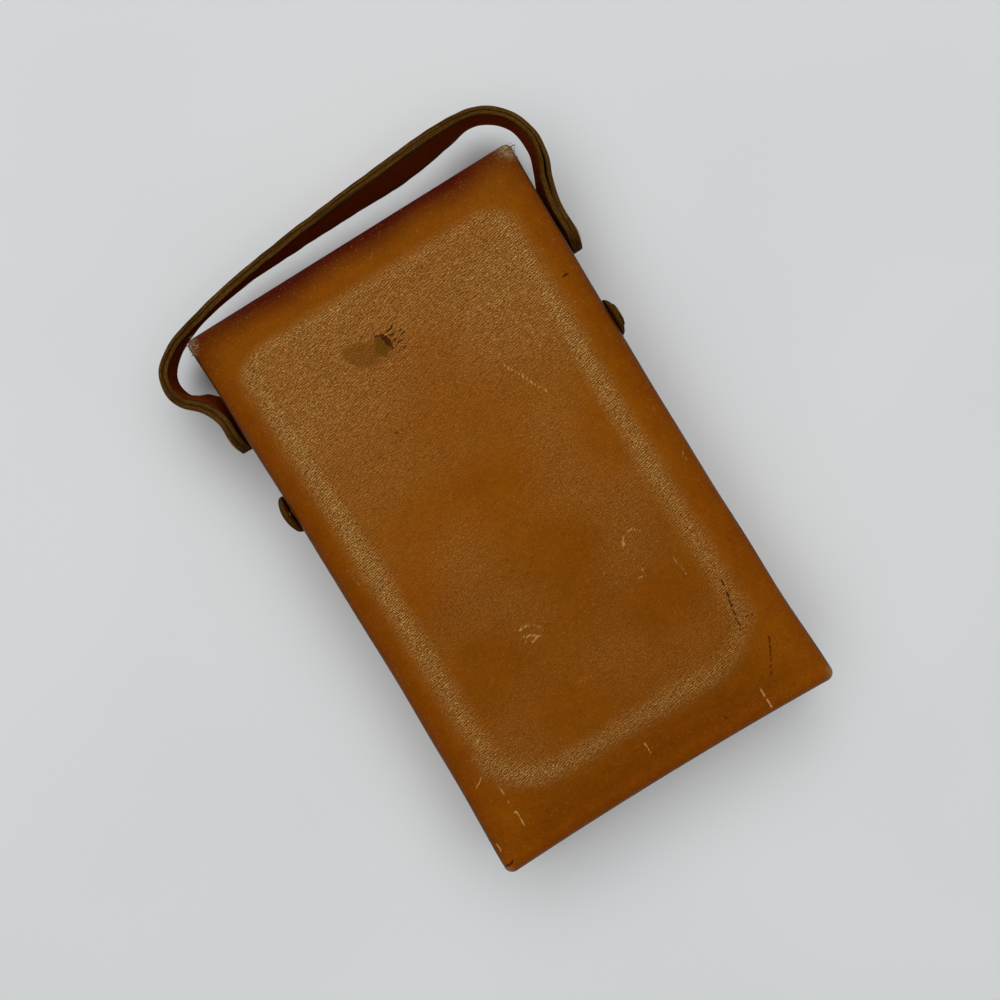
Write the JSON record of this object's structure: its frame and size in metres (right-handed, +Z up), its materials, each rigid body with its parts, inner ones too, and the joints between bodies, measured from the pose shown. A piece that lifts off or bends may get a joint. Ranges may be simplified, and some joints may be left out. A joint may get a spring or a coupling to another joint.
{
  "type": "slide rule in leather case",
  "caption": "Pocket slide rule in a fitted leather carrying case with a moulded hinged cover, snap tabs and a strap handle.",
  "frame": {"origin": "centre of the back panel's flat resting face", "axes": "+Z up out of the moulded cover, +Y towards the strap and the cover's hinge, +X to the right when the strap points away"},
  "size_m": [0.1349, 0.199, 0.0381],
  "materials": {
    "case_leather": "satin, pebbled grain, worn",
    "strap_leather": "satin, raw olive-brown edges",
    "strap_lining_leather": "satin, dark red-brown",
    "felt": "matt felt",
    "block_felt": "light wood covered with felt",
    "stud_brass": "aged satin",
    "celluloid": "satin ivory",
    "bright_metal": "polished",
    "clear": "clear"
  },
  "bodies": {
    "case_body": {"back_lining": "felt", "back_panel": "case_leather", "end_wall": "case_leather", "far_back_bracket": "bright_metal", "far_front_bracket": "bright_metal", "far_left_screw": "bright_metal", "far_rest_pad": "felt", "far_right_screw": "bright_metal", "fitted_block": "block_felt", "hinge_strip": "case_leather", "left_gusset": "case_leather", "left_strap_rivet": "stud_brass", "left_strap_spacer": "strap_lining_leather", "left_tab_base": "strap_leather", "left_tab_rivet_1": "stud_brass", "left_tab_rivet_2": "stud_brass", "near_back_bracket": "bright_metal", "near_front_bracket": "bright_metal", "near_gusset": "case_leather", "near_left_screw": "bright_metal", "near_rest_pad": "felt", "near_right_screw": "bright_metal", "right_gusset": "case_leather", "right_strap_rivet": "stud_brass", "right_strap_spacer": "strap_lining_leather", "right_tab_base": "strap_leather", "right_tab_rivet_1": "stud_brass", "right_tab_rivet_2": "stud_brass", "rule_left_rail": "celluloid", "rule_right_rail": "celluloid"},
    "cover": {"cover_lining": "felt", "cover_shell": "case_leather", "left_snap_stud": "stud_brass", "right_snap_stud": "stud_brass"},
    "handle": {"strap_inner": "strap_lining_leather", "strap_outer": "strap_leather"},
    "left_tab": {"left_snap_cap": "stud_brass", "left_tab_flap": "strap_leather"},
    "right_tab": {"right_snap_cap": "stud_brass", "right_tab_flap": "strap_leather"},
    "rule_slide_bar": {"rule_slide": "celluloid"},
    "cursor": {"cursor_back_glass": "clear", "cursor_front_glass": "clear", "cursor_left_runner": "bright_metal", "cursor_right_runner": "bright_metal", "cursor_spring": "bright_metal"}
  },
  "joints": [
    {"name": "handle_swing", "type": "hinge", "parent": "case_body", "child": "handle", "pos_m": [0, 0.0615, 0.0195], "axis": [-1, 0, 0], "range_deg": [-100, 12]},
    {"name": "cover_open", "type": "hinge", "parent": "case_body", "child": "cover", "pos_m": [0, 0.085, 0.034], "axis": [-1, 0, 0], "range_deg": [0, 110]},
    {"name": "left_tab_open", "type": "hinge", "parent": "case_body", "child": "left_tab", "pos_m": [-0.05715, 0.032, 0.01185], "axis": [0, -1, 0], "range_deg": [0, 95]},
    {"name": "right_tab_open", "type": "hinge", "parent": "case_body", "child": "right_tab", "pos_m": [0.05715, 0.032, 0.01185], "axis": [0, 1, 0], "range_deg": [0, 95]},
    {"name": "rule_slide_travel", "type": "slide", "parent": "case_body", "child": "rule_slide_bar", "axis": [0, 1, 0], "range_m": [-0.008, 0.008]},
    {"name": "cursor_travel", "type": "slide", "parent": "case_body", "child": "cursor", "axis": [0, 1, 0], "range_m": [-0.047, 0.047]}
  ]
}
